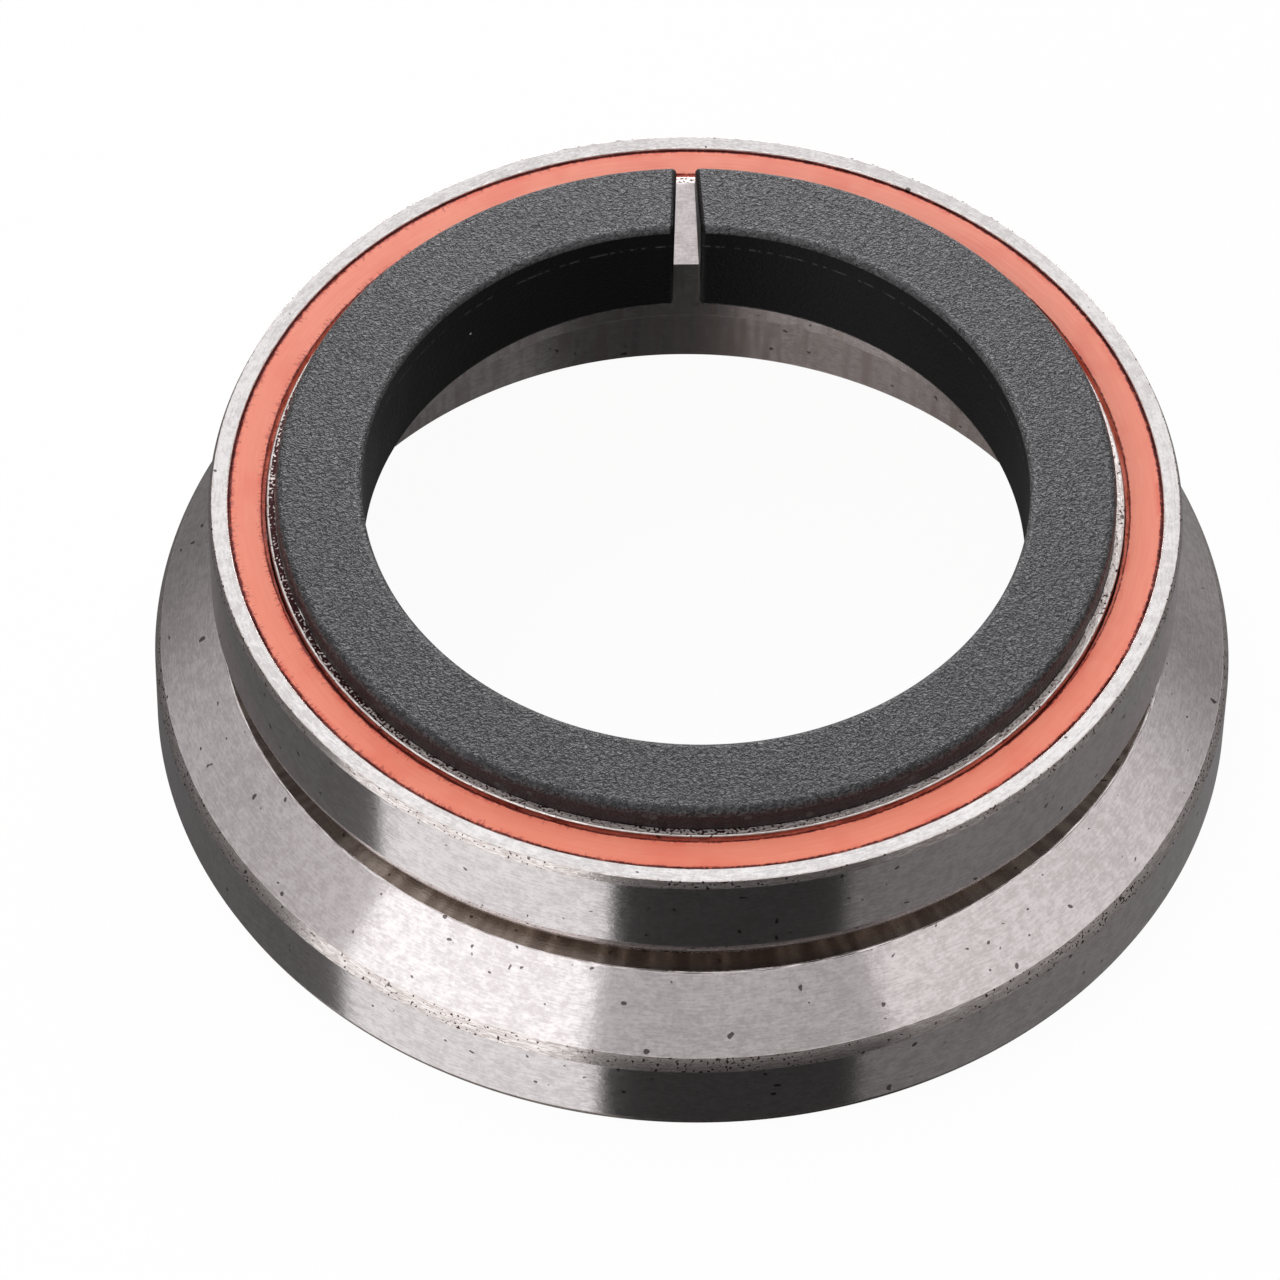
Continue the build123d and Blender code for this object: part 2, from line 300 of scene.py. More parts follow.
def bearings():
    """The upper and the lower bearing of the stack, by name."""
    s = settings()
    joint = s.lower.height
    return {
        "upper": Section(s.upper, s.common, joint, 1.0),
        "lower": Section(s.lower, s.common, joint, -1.0),
    }


def soften(corners):
    """Points of a closed profile, with its corners rounded and its skins eased into each other. They
    run against the clock."""
    places = [Vector((c.r, c.z)) for c in corners]
    count = len(corners)
    arcs = []
    for i, corner in enumerate(corners):
        back = (places[i - 1] - places[i]).normalized()
        ahead = (places[(i + 1) % count] - places[i]).normalized()
        if not corner.round:
            arcs.append([places[i]])
            continue
        half = back.angle(ahead) / 2
        reach = corner.round / tan(half)
        centre = places[i] + (back + ahead).normalized() * corner.round / sin(half)
        start, end = places[i] + back * reach - centre, places[i] + ahead * reach - centre
        first = atan2(start.y, start.x)
        sweep = (atan2(end.y, end.x) - first + pi) % (2 * pi) - pi
        steps = max(4, ceil(abs(degrees(sweep)) / ARC_STEP))
        turns = [first + sweep * k / steps for k in range(steps + 1)]
        arc = [centre + corner.round * Vector((cos(turn), sin(turn))) for turn in turns]
        arcs.append(flattened(arc, corner.full))
    points = []
    for i, corner in enumerate(corners):
        last = len(arcs[i]) - 1
        points += [Point(p.x, p.y, corner.skin, corner.stray, corner.full < 1 and k in (0, last))
                   for k, p in enumerate(arcs[i])]
        start, end = arcs[i][-1], arcs[(i + 1) % count][0]
        run = (end - start).length
        if run > 5 * EASE:
            ease = EASE / run
            for part in (ease, 2 * ease, 1 - 2 * ease, 1 - ease):
                place = start.lerp(end, part)
                points.append(Point(place.x, place.y, corner.face, 0.0, False))
    return points if signed_area(points) > 0 else points[::-1]


def flattened(arc, fullness):
    """The arc drawn towards its chord, which leaves a crease at either end."""
    chord = arc[-1] - arc[0]
    feet = [arc[0] + chord * ((p - arc[0]).dot(chord) / chord.length_squared) for p in arc]
    return [foot.lerp(p, fullness) for foot, p in zip(feet, arc)]


def signed_area(points):
    return sum(a.r * b.z - b.r * a.z for a, b in zip(points, points[1:] + points[:1])) / 2


def distances(points):
    """How far along the profile each point lies, in millimetres."""
    travelled = [0.0]
    for a, b in zip(points, points[1:]):
        travelled.append(travelled[-1] + hypot(b.r - a.r, b.z - a.z) / MM)
    return travelled


def turns_sharply(points, i):
    """Whether the profile bends too much there to shade smoothly."""
    a, b, c = points[i - 1], points[i], points[(i + 1) % len(points)]
    one = Vector((b.r - a.r, b.z - a.z))
    two = Vector((c.r - b.r, c.z - b.z))
    return min(one.length, two.length) > SAME_PLACE and one.angle(two) > radians(CREASE)


WANDER_ROW = 7.31  # distance in the noise between one seed and the next
OUT_PACE, DOWN_PACE = 26, 14  # how quickly a stray point wanders outwards and downwards
DOWN_SHARE, DOWN_SEED = 0.4, 50


def wander(theta, seed, pace):
    """A smooth, closed, repeatable wander between about -1 and 1."""
    return noise.noise(Vector((cos(theta) * pace, sin(theta) * pace, seed * WANDER_ROW)))


def store(mesh, name, values):
    """Stores a value for each of the mesh's vertices, for its material."""
    mesh.attributes.new(name, "FLOAT", "POINT").data.foreach_set("value", values)


def linked(name, data):
    """A new object of the scene."""
    made = bpy.data.objects.new(name, data)
    bpy.context.scene.collection.objects.link(made)
    return made


def finish_mesh(name, vertices, faces, rings, points, material, skins=None):
    """Makes the object, with the profile's facts stored on its vertices for the material."""
    mesh = bpy.data.meshes.new(name)
    mesh.from_pydata(vertices, [], faces)
    mesh.polygons.foreach_set("use_smooth", [True] * len(mesh.polygons))
    travelled = distances(points)
    store(mesh, "along", [travelled[j] for j in rings])
    store(mesh, "skin", skins or [points[j].skin for j in rings])
    sharp = {i for i, p in enumerate(points) if p.crease or turns_sharply(points, i)}
    for edge in mesh.edges:
        a, b = (rings[v] for v in edge.vertices)
        edge.use_edge_sharp = a == b and a in sharp
    mesh.materials.append(material)
    mesh.update()
    return linked(name, mesh)


def turned(name, corners, material, seed=0):
    """A full ring, turned from a profile. Points that may stray do so, but never past a face."""
    points = soften(corners)
    count, steps = len(points), settings().common.turns
    middle = sum(p.z for p in points) / count
    vertices = []
    for i in range(steps):
        theta = 2 * pi * i / steps
        for j, p in enumerate(points):
            r, z = p.r, p.z
            if p.stray:
                r += p.stray * wander(theta, seed + j, OUT_PACE)
                sink = DOWN_SHARE * p.stray * abs(wander(theta, seed + j + DOWN_SEED, DOWN_PACE))
                z += sink if z < middle else -sink
            vertices.append((r * cos(theta), r * sin(theta), z))
    faces = []
    for i in range(steps):
        here, there = i * count, (i + 1) % steps * count
        for j in range(count):
            k = (j + 1) % count
            faces.append((here + j, there + j, there + k, here + k))
    return finish_mesh(name, vertices, faces, list(range(count)) * steps, points, material)


def seat(piece, body, slot, *nodes):
    """Puts a finished piece in its body, in place of its nodes."""
    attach(piece, body)
    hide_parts(*nodes)


# Node trees

class Value:
    """An output of a node, which adds, subtracts and multiplies as a number does."""

    def __init__(self, wiring, socket):
        self.wiring, self.socket = wiring, socket

    def __add__(self, other):
        return self.wiring.math("ADD", self, other)

    def __sub__(self, other):
        return self.wiring.math("SUBTRACT", self, other)

    def __rsub__(self, other):
        return self.wiring.math("SUBTRACT", other, self)

    def __mul__(self, other):
        return self.wiring.math("MULTIPLY", self, other)


class Wiring:
    """A node tree under construction. Each node is added and joined in one call."""

    NODES_A_ROW, NODE_WIDTH, NODE_HEIGHT = 12, 220, 260

    def __init__(self, tree):
        self.tree = tree
        self.tree.nodes.clear()

    def add(self, kind, inputs=None, **facts):
        row, column = divmod(len(self.tree.nodes), self.NODES_A_ROW)
        node = self.tree.nodes.new(kind)
        node.location = (-self.NODE_WIDTH * column, -self.NODE_HEIGHT * row)
        for key, value in facts.items():
            setattr(node, key, value)
        for key, value in (inputs or {}).items():
            self.feed(node.inputs[key], value)
        return node

    def out(self, kind, inputs=None, output=0, **facts):
        """One output of a new node."""
        return Value(self, self.add(kind, inputs, **facts).outputs[output])

    def feed(self, socket, value):
        if isinstance(value, Value):
            self.tree.links.new(value.socket, socket)
        elif socket.type == "RGBA" and len(value) == 3:
            socket.default_value = (*value, 1.0)
        else:
            socket.default_value = value

    def math(self, operation, a, b=0.0, clamp=False):
        return self.out("ShaderNodeMath", {0: a, 1: b}, operation=operation, use_clamp=clamp)

    def choose(self, factor, a, b):
        return self.out("ShaderNodeMix", {0: factor, 2: a, 3: b}, data_type="FLOAT")

    def fact(self, name):
        """What the mesh stores under this name."""
        return self.out("ShaderNodeAttribute", output="Fac", attribute_name=name)

    def seen_directly(self):
        """1 for the camera, and for what metal and glass show; 0 for light that falls on things."""
        path = self.add("ShaderNodeLightPath")
        total = Value(self, path.outputs["Is Camera Ray"])
        for name in ("Is Glossy Ray", "Is Transmission Ray"):
            total = self.math("MAXIMUM", total, Value(self, path.outputs[name]))
        return total


class Paint(Wiring):
    """A material under construction."""

    def __init__(self, name):
        self.material = bpy.data.materials.new(name)
        self.material.use_nodes = True
        super().__init__(self.material.node_tree)

    def close(self, shader):
        self.add("ShaderNodeOutputMaterial", {0: shader})
        return self.material


# Finishes

class Finish(Paint):
    """A material of the object, with one glossy shader and grain that lies in the object."""

    def __init__(self, name):
        super().__init__(name)
        self.shader = self.add("ShaderNodeBsdfPrincipled")
        self.close(Value(self, self.shader.outputs[0]))

    @cached_property
    def place(self):
        return self.out("ShaderNodeTexCoord", output="Object")

    @cached_property
    def flat(self):
        """The place, seen along the axis."""
        return self.out("ShaderNodeVectorMath", {0: self.place, 1: (1.0, 1.0, 0.0)}, operation="MULTIPLY")

    @cached_property
    def heading(self):
        """The direction away from the axis."""
        return self.out("ShaderNodeVectorMath", {0: self.flat}, operation="NORMALIZE")

    @cached_property
    def along(self):
        return self.fact("along")

    def axis(self, index):
        return self.out("ShaderNodeSeparateXYZ", {0: self.place}, index)

    def surface(self, **inputs):
        for key, value in inputs.items():
            self.feed(self.shader.inputs[key.replace("_", " ")], value)

    def relief(self, height, depth):
        bumps = self.out("ShaderNodeBump", {"Strength": 1.0, "Distance": depth, "Height": height})
        self.surface(Normal=bumps)

    def span(self, value, low, high, start, end):
        """Runs evenly from start, where the value is low, to end, where it is high."""
        return self.out("ShaderNodeMapRange", {0: value, 1: low, 2: high, 3: start, 4: end})

    def step(self, value, low, high, start=0.0, end=1.0):
        """The same, with a soft beginning and end."""
        return self.out("ShaderNodeMapRange", {0: value, 1: low, 2: high, 3: start, 4: end},
                        interpolation_type="SMOOTHSTEP")

    def blend(self, factor, a, b):
        return self.out("ShaderNodeMix", {0: factor, 6: a, 7: b}, 2, data_type="RGBA")

    def grain(self, vector, scale, detail=2.0, roughness=0.5, distortion=0.0):
        return self.out("ShaderNodeTexNoise", {"Vector": vector, "Scale": scale, "Detail": detail,
                                               "Roughness": roughness, "Distortion": distortion}, "Fac")

    def turning(self, around, across, drift, *facts):
        """Grain drawn out round the axis. It repeats more often as around and across grow."""
        wide = self.out("ShaderNodeVectorMath", {0: self.heading, "Scale": around}, operation="SCALE")
        lift = self.out("ShaderNodeCombineXYZ", {2: self.along * across + drift})
        laid = self.out("ShaderNodeVectorMath", {0: wide, 1: lift}, operation="ADD")
        return self.grain(laid, 1.0, *facts)

    def specks(self, scale, size, rarity):
        """Sparse round specks: 1 inside a speck, 0 elsewhere."""
        cells = self.add("ShaderNodeTexVoronoi", {"Vector": self.place, "Scale": scale, "Randomness": 1.0})
        distance, colours = (Value(self, cells.outputs[name]) for name in ("Distance", "Color"))
        chance, width = (self.out("ShaderNodeSeparateColor", {0: colours}, index) for index in (0, 1))
        near = self.math("LESS_THAN", distance, width * size)
        return near * self.math("GREATER_THAN", chance, rarity)


def once(make):
    """Makes a material the first time it is asked for."""
    def found():
        made = bpy.data.materials.get(make.__name__)
        return made or make(Finish(make.__name__))
    return found


@once
def ground_steel(m):
    """Ground bearing steel, with a warmer turned skin, dark specks on the turned lands, painted shade in dark
    browns on the seat-side lands under the other bearing, and painted shade on the left of the rough lands,
    lighter to the right.
    """
    f = settings().finishes
    marks = m.turning(34, 11, 0.0, 2.0, 0.62)
    hair = m.turning(70, 42, 9.0, 0.0)
    mottle = m.grain(m.place, 1800.0, 1.0, 0.6)
    cloud = m.grain(m.place, 190.0, 0.0)
    smudge = m.turning(30, 0.12, 5.0, 1.0, 0.6)
    fleck = m.turning(115, 7.5, 1.0, 1.0, 0.72) - 0.5
    border = (m.turning(60, 6, 3.0, 0.0) - 0.5) * 0.8
    crust = m.grain(m.place, 8500.0, 0.0) - 0.5
    patch = m.turning(3.5, 0.0, 2.0, 0.0) - 0.5
    dents = m.step(m.grain(m.place, 2600.0, 0.0), 0.80, 0.83)

    # The stored skin says which face this is, and the grain frays the borders between faces.
    laid = m.fact("skin")
    bore = m.step(laid * -1.0, 0.3, 0.7)
    skin = m.step(laid + border, 0.35, 0.62)
    # deep picks out the seat-side lands, whose colour below is painted shade.
    deep = m.step(laid, 1.6, 1.8)
    rough = m.step(laid, 1.08, 1.16) - deep
    right = m.axis(0)
    # Painted shade: the rough lands darken towards the left and lighten towards the right, as the light falls
    # there.
    painted_side_shade = m.step(right, -18 * MM, -9 * MM, 0.6, 0.0) + m.span(right, 0.0, 18 * MM, 0.0, -0.40)
    # Dark specks on the rough lands, with more of them on the left as painted shade.
    scale = m.step(laid + (crust * 2.4 + patch * 0.8) + rough * painted_side_shade, 1.40, 1.60)

    mix = marks * 1.25 + mottle * 0.95
    clean = m.math("ADD", m.step(mix + cloud * 0.45, 0.92, 1.72), fleck * 1.7, clamp=True)
    ground = m.blend(clean, f.steel_dark, f.steel_light)
    ground = m.blend(bore * m.step(smudge, 0.42, 0.72), ground, f.skin_dark)
    rub = m.step(marks * 0.9 + hair * 0.8, 0.62, 1.12)
    metal = m.blend(skin, ground, m.blend(rub, f.skin_dark, f.skin_light))
    # Painted shade: the seat-side lands, under the other bearing, take dark browns in place of the shade that
    # falls there.
    painted_shade_brown = m.blend(m.step(smudge, 0.35, 0.7), f.scale_dark, f.scale_light)
    metal = m.blend(m.math("MAXIMUM", scale, deep), metal, m.blend(deep, f.specks_dark, painted_shade_brown))
    even = m.choose(bore, m.span(mix, 0.7, 1.5, 0.16, 0.09), m.span(smudge, 0.3, 0.7, 0.15, 0.27))
    worn = m.choose(skin, even, m.span(rub, 0.0, 1.0, 0.26, 0.18))
    m.surface(
        Base_Color=m.blend(dents * 0.85, metal, f.dents),
        Metallic=1.0,
        Roughness=m.choose(rough, worn, 0.55),
    )
    height = (marks * 0.7 + hair * 0.3 + fleck * 0.55) * m.span(laid, 0.35, 0.62, 1.0, 2.6)
    m.relief(height + rough * (crust * 14.0), f.steel_relief)
    return m.material


@once
def coral_rubber(m):
    """Coral rubber with faint turning streaks, frayed flash, more dark hairs on the left as painted shade,
    and a dark line at both edges that is partly flash and partly painted shade of the gap beside the races.
    """
    f = settings().finishes
    streaks = m.turning(9, 9, 0.0, 3.0, 0.6)
    cloud = m.grain(m.place, 330.0, 3.0, 0.55)
    bruise = m.step(m.grain(m.place, 420.0, 3.0, 0.65, 0.4), 0.51, 0.63)
    hairs = m.turning(125, 2.4, 4.0, 2.0, 0.6, 1.1)
    ragged = m.turning(90, 3.0, 8.0, 3.0, 0.6) - 0.5
    some = m.step(m.turning(3.6, 0.0, 6.0, 2.0), 0.36, 0.62, 0.0, 0.45)
    # Partly painted shade: the frayed hairs are random, and grow denser towards the left, standing for the
    # shade there.
    frayed = m.math("MAXIMUM", some, m.step(m.axis(0), -14 * MM, 2 * MM, 1.0, 0.0))

    # The stored skin grows towards the seal's edges.
    edge = m.fact("skin")
    # Partly painted shade: a dark line at both edges, for the flash and for the shade in the gap beside the
    # races.
    line = m.step(edge + ragged * 0.5, 0.82, 0.95)
    fray = m.step(hairs + frayed * 0.20 - (1.0 - edge) * 0.32, 0.57, 0.68) * m.step(edge, 0.0, 0.25)
    flush = m.math("MAXIMUM", bruise * m.step(edge, 0.15, 0.7), m.step(edge + ragged, 0.45, 0.9) * 0.55)

    body = m.blend(m.step(streaks, 0.35, 0.7) * 0.45, f.rubber, f.rubber_pale)
    body = m.blend(m.step(cloud, 0.45, 0.75) * 0.40, body, f.rubber_deep)
    body = m.blend(flush * 0.7, body, f.rubber_deep)
    body = m.blend(fray * 0.62, body, f.rubber_frayed)
    m.surface(
        Base_Color=m.blend(line, body, f.rubber_edge),
        Roughness=m.span(streaks, 0.3, 0.7, 0.58, 0.46),
        Specular_IOR_Level=0.35,
    )
    m.relief(streaks * 0.6 + cloud * 0.5, f.rubber_relief)
    return m.material


@once
def moulded_black(m):
    """Moulded charcoal plastic: leathery grain, rubbed edges lightened partly as wear and partly as a painted
    highlight, a dull side wall, a bore and slot darkened as painted shade, a seam in the bore.
    """
    f, r = settings().finishes, settings().ring
    grain = m.grain(m.place, 6200.0, 1.0, 0.6, 0.9)
    fine = m.grain(m.place, 11500.0, 0.0)
    cloud = m.grain(m.place, 480.0, 0.0)
    dots = m.specks(420.0, 0.05, 0.90)

    laid = m.fact("skin")
    rubbed = m.step(laid + (grain - 0.5) * 1.5, 0.45, 1.15)
    side = m.step(laid * -1.0, 0.3, 0.7)
    inside = m.step(laid * -1.0, 1.3, 1.7)
    chips = m.specks(2300.0, 0.45, 0.72) * (side - inside)

    top = bearings()["upper"].level(settings().upper.height) + r.proud
    off = m.math("ABSOLUTE", m.axis(2) - (top - r.seam))
    radius = m.out("ShaderNodeVectorMath", {0: m.flat}, "Value", operation="LENGTH")
    wall = m.math("LESS_THAN", radius, r.bore_radius + 0.05 * MM)
    ridge = m.step(off, 0.02 * MM, 0.07 * MM, 1.0, 0.0)
    seam = wall * ridge * m.step(m.turning(40, 0.0, 7.0, 2.0), 0.45, 0.56)

    body = m.blend(m.step(grain, 0.44, 0.64) * 0.60, f.ring, f.ring_rubbed)
    # Partly painted highlight: rubbed edges lighten towards this colour, partly as wear and partly standing
    # for a highlight.
    body = m.blend(rubbed * 0.25, body, f.ring_edge)
    body = m.blend(side, body, f.ring_side)
    # Painted shade: the bore and slot darken towards near black.
    body = m.blend(inside, body, f.ring_inside)
    body = m.blend(m.math("MAXIMUM", chips * 0.7, seam * 0.8), body, f.ring_rubbed)
    gloss = m.choose(side, m.span(grain, 0.35, 0.65, 0.42, 0.68), 0.35)
    m.surface(
        Base_Color=m.blend(dots, body, f.dust),
        Roughness=m.span(grain + cloud, 0.6, 1.4, 0.46, 0.36),
        Specular_IOR_Level=m.choose(inside, gloss, 0.12),
        Specular_Tint=f.ring_gloss,
    )
    m.relief((grain + fine * 0.3) * (1.0 - inside * 0.75), f.ring_relief)
    return m.material


@once
def cage_nylon(m):
    """Moulded nylon."""
    f = settings().finishes
    fine = m.grain(m.place, 2600.0, 3.0)
    m.surface(
        Base_Color=m.blend(m.step(m.grain(m.place, 300.0), 0.35, 0.7), f.cage, f.cage_deep),
        Roughness=m.span(fine, 0.3, 0.7, 0.52, 0.40),
        Subsurface_Weight=0.08,
        Subsurface_Radius=(0.8 * MM, 0.6 * MM, 0.4 * MM),
        Subsurface_Scale=1.0,
    )
    m.relief(fine, f.cage_relief)
    return m.material


@once
def polished_steel(m):
    """Polished balls under a film of grease."""
    f = settings().finishes
    film = m.grain(m.place, 900.0, 3.0)
    m.surface(
        Base_Color=m.blend(m.step(film, 0.4, 0.75), f.ball, f.ball_greased),
        Metallic=1.0,
        Roughness=m.span(film, 0.3, 0.7, 0.06, 0.14),
    )
    m.relief(film, f.ball_relief)
    return m.material


# Pieces

SealSeat = namedtuple("SealSeat", "face back outer_wall inner_wall")


def cone_side_seat(s):
    face = s.height - s.common.cone_side_sink
    return SealSeat(face, face - s.common.seal_share * s.head_room, s.outer_groove, s.inner_shoulder)


def seat_side_seat(s):
    sink = s.common.seat_side_sink
    return SealSeat(sink, sink + s.common.seal_share * (s.foot_room - sink), s.outer_shoulder, s.inner_groove)


def bead(s, place):
    """The snap groove of the outer race, which the seal's bead fills, face side first."""
    drop = place.back - place.face
    wall, deep = place.outer_wall, place.outer_wall + s.common.seal_bead
    return [Corner(wall, place.face + 0.25 * drop), Corner(deep, place.face + 0.4 * drop),
            Corner(deep, place.face + 0.7 * drop), Corner(wall, place.face + 0.85 * drop)]


def outer_race_profile(s):
    c = s.common
    return s.place([
        *s.groove_arc(s.outer_shoulder, -1),
        *reversed(bead(s, cone_side_seat(s))),
        Corner(s.outer_groove, s.height, c.fine_round, 0.6, 0.0),
        Corner(s.outer - c.edge_step, s.height, c.keen_round, 1.0, 1.0),
        Corner(s.outer, s.height - c.edge_drop, c.keen_round, 1.0, 0.0),
        Corner(s.outer, s.seat, s.sizes.seat_round, 1.0, 0.0, 0.0, c.edge_fullness),
        Corner(s.seat_foot, 0.0, c.fine_round, 0.0, 2.0, c.foot_stray),
        Corner(s.outer_shoulder, 0.0, c.dull_round, 1.4, 1.0),
        *bead(s, seat_side_seat(s)),
    ])


def inner_race_profile(s):
    c, sizes = s.common, s.sizes
    return s.place([
        *s.groove_arc(s.inner_shoulder, 1),
        Corner(s.inner_groove, sizes.setback, c.dull_round, 0.8, 1.5),
        Corner(s.bore + sizes.bore_chamfer, sizes.setback, c.dull_round, 0.3, 0.8),
        Corner(s.bore, sizes.setback + sizes.bore_chamfer, c.bore_round, 0.0, -1.0),
        Corner(s.bore, s.height - s.cone_depth, c.bore_round, 0.6, 0.1),
        Corner(s.cone_mouth, s.height, c.fine_round, 0.0, 1.3, c.cone_stray),
        Corner(s.inner_shoulder, s.height, c.fine_round, 0.9, 0.2),
    ])


def seal_profile(s, place):
    """Its face has points near both edges, where the fray fades out."""
    c = s.common
    drop = place.back - place.face
    edge = c.seal_edge if drop > 0 else -c.seal_edge
    lip = place.inner_wall + c.lip_gap
    crown = lip + c.lip_length
    outer = place.outer_wall - c.seal_edge
    fade = 0.3 * (outer - crown)
    parts = (0.25, 0.5, 0.75, 1.0)
    return s.place([
        Corner(crown, place.back),
        Corner(lip, place.face + 0.75 * drop),
        Corner(lip, place.face + 0.4 * drop, 0.0, 0.95, 0.5, c.seal_stray),
        Corner(crown, place.face + 0.4 * drop, c.lip_round, 0.5, 0.6, c.seal_stray),
        Corner(crown, place.face, c.keen_round, 0.92, 0.8, c.seal_stray),
        *(Corner(crown + fade * part, place.face, 0.0, 0.8 * (1 - part), 0.0) for part in parts),
        *(Corner(outer - fade * part, place.face, 0.0, 0.8 * (1 - part), 0.0) for part in reversed(parts)),
        Corner(outer, place.face, c.keen_round, 0.92, 1.0, c.seal_stray),
        Corner(place.outer_wall, place.face + edge, 0.0, 1.0, 1.0),
        *bead(s, place),
        Corner(place.outer_wall, place.back),
    ])


def split_ring(name, corners, material):
    """The profile carried round from one slot wall to the other, with rounded slot edges."""
    r = settings().ring
    points = soften(corners)
    count = len(points)
    rim = max(p.r for p in points)
    inward = []
    for i in range(count):
        a, b, c = points[i - 1], points[i], points[(i + 1) % count]
        one = Vector((b.r - a.r, b.z - a.z)).normalized()
        two = Vector((c.r - b.r, c.z - b.z)).normalized()
        normal = Vector((-(one.y + two.y), one.x + two.x)).normalized()
        inward.append(normal / max(normal.dot(Vector((-one.y, one.x))), 0.5))

    def half_slot(radius):
        part = (radius - r.bore_radius) / (rim - r.bore_radius)
        return (r.slot_at_bore + (r.slot_at_rim - r.slot_at_bore) * part) / 2

    def wall_section(depth, inset, side):
        section = []
        for p, normal in zip(points, inward):
            radius, z = p.r + normal.x * inset, p.z + normal.y * inset
            x = half_slot(radius) + depth
            section.append((side * x, sqrt(radius ** 2 - x ** 2), z))
        return section

    def slot_edge(side):
        """From the slot's flat wall to the full ring."""
        turns = [pi / 2 * k / rounds for k in range(rounds, 0, -1)]
        return [wall_section(r.slot_round * (1 - sin(turn)), r.slot_round * (1 - cos(turn)), side)
                for turn in turns]

    steps, rounds = settings().common.turns, 5
    sections = slot_edge(1)
    for i in range(steps + 1):
        section = []
        for p in points:
            start = asin((half_slot(p.r) + r.slot_round) / p.r)
            turn = start + (2 * pi - 2 * start) * i / steps
            section.append((p.r * sin(turn), p.r * cos(turn), p.z))
        sections.append(section)
    sections += reversed(slot_edge(-1))
    vertices = [v for section in sections for v in section]
    faces = []
    for i in range(len(sections) - 1):
        here, there = i * count, (i + 1) * count
        for j in range(count):
            k = (j + 1) % count
            faces.append((here + j, here + k, there + k, there + j))
    faces.append(tuple(range(count))[::-1])
    faces.append(tuple(range(len(vertices) - count, len(vertices))))
    walls = [-2.0] * (rounds * count)
    skins = walls + [p.skin for p in points] * (steps + 1) + walls
    piece = finish_mesh(name, vertices, faces, list(range(count)) * len(sections), points, material, skins)
    work = bmesh.new()
    work.from_mesh(piece.data)
    bmesh.ops.recalc_face_normals(work, faces=work.faces)
    work.to_mesh(piece.data)
    work.free()
    return piece


def ring_profile(upper):
    r = settings().ring
    mouth = upper.level(upper.height)
    top = mouth + r.proud
    slope = tan(upper.sizes.cone_angle)
    rim = upper.cone_mouth + r.overhang
    skirt = upper.bore - r.play
    rim_foot = mouth - (upper.cone_mouth - rim) * slope
    skirt_head = mouth - (upper.cone_mouth - skirt) * slope
    foot = skirt_head - r.skirt_length
    return [
        Corner(skirt, foot, r.skirt_round, 0.1),
        Corner(skirt, skirt_head),
        Corner(rim, rim_foot, r.foot_round, -1.0, -1.0),
        Corner(rim, top, r.rim_round, 0.2),
        Corner(r.bore_radius, top, r.bore_round, 1.0, -2.0),
        Corner(r.bore_radius, foot, r.skirt_round, 0.1),
    ]


def cage_profile(s):
    c = s.common
    finger_low = s.ball_height - 0.8 * s.ball
    base_low = s.ball_height + 0.6 * s.ball
    base_high = cone_side_seat(s).back - c.cage_gap
    finger_in, finger_out = s.pitch - c.cage_wall / 2, s.pitch + c.cage_wall / 2
    base_in, base_out = s.pitch + c.cage_gap, s.outer_groove - c.cage_gap
    return s.place([
        Corner(finger_in, finger_low, c.cage_round),
        Corner(finger_out, finger_low, c.cage_round),
        Corner(finger_out, base_low),
        Corner(base_out, base_low + c.cage_wall / 2, c.cage_round),
        Corner(base_out, base_high, c.cage_round),
        Corner(base_in, base_high, c.cage_round),
        Corner(base_in, base_low + c.cage_wall / 2),
        Corner(finger_in, base_low),
    ])


# Geometry Nodes

class Pattern(Wiring):
    """A Geometry Nodes tree under construction, with named inputs."""

    def __init__(self, name, sizes):
        super().__init__(bpy.data.node_groups.new(name, "GeometryNodeTree"))
        sockets = self.tree.interface
        for way in ("INPUT", "OUTPUT"):
            sockets.new_socket("Geometry", in_out=way, socket_type="NodeSocketGeometry")
        self.sockets = {label: sockets.new_socket(label, in_out="INPUT", socket_type=kind).identifier
                        for label, kind in sizes.items()}
        self.inputs = self.tree.nodes.new("NodeGroupInput").outputs
        self.output = self.tree.nodes.new("NodeGroupOutput").inputs[0]

    def given(self, label):
        return Value(self, self.inputs[label])

    def balls_round(self):
        """Balls, evenly round the pitch circle at the ball level."""
        circle = self.out("GeometryNodeMeshCircle", {
            "Vertices": self.given("Balls"),
            "Radius": self.given("Pitch radius"),
        })
        lift = self.out("ShaderNodeCombineXYZ", {"Z": self.given("Level")})
        raised = self.out("GeometryNodeTransform", {"Geometry": circle, "Translation": lift})
        sphere = self.out("GeometryNodeMeshUVSphere", {
            "Segments": self.given("Facets"),
            "Rings": self.given("Rings"),
            "Radius": self.given("Ball radius"),
        })
        smooth = self.out("GeometryNodeSetShadeSmooth", {"Geometry": sphere})
        placed = self.out("GeometryNodeInstanceOnPoints", {"Points": raised, "Instance": smooth})
        return self.out("GeometryNodeRealizeInstances", {"Geometry": placed})

    def close(self, geometry):
        finished = self.out("GeometryNodeSetMaterial", {
            "Geometry": geometry,
            "Material": self.given("Material"),
        })
        self.tree.links.new(finished.socket, self.output)
        return self


BALL_SIZES = {
    "Balls": "NodeSocketInt",
    "Facets": "NodeSocketInt",
    "Rings": "NodeSocketInt",
    "Pitch radius": "NodeSocketFloat",
    "Level": "NodeSocketFloat",
    "Ball radius": "NodeSocketFloat",
    "Material": "NodeSocketMaterial",
}


def ball_pattern():
    pattern = Pattern("Ball set", BALL_SIZES)
    return pattern.close(pattern.balls_round())


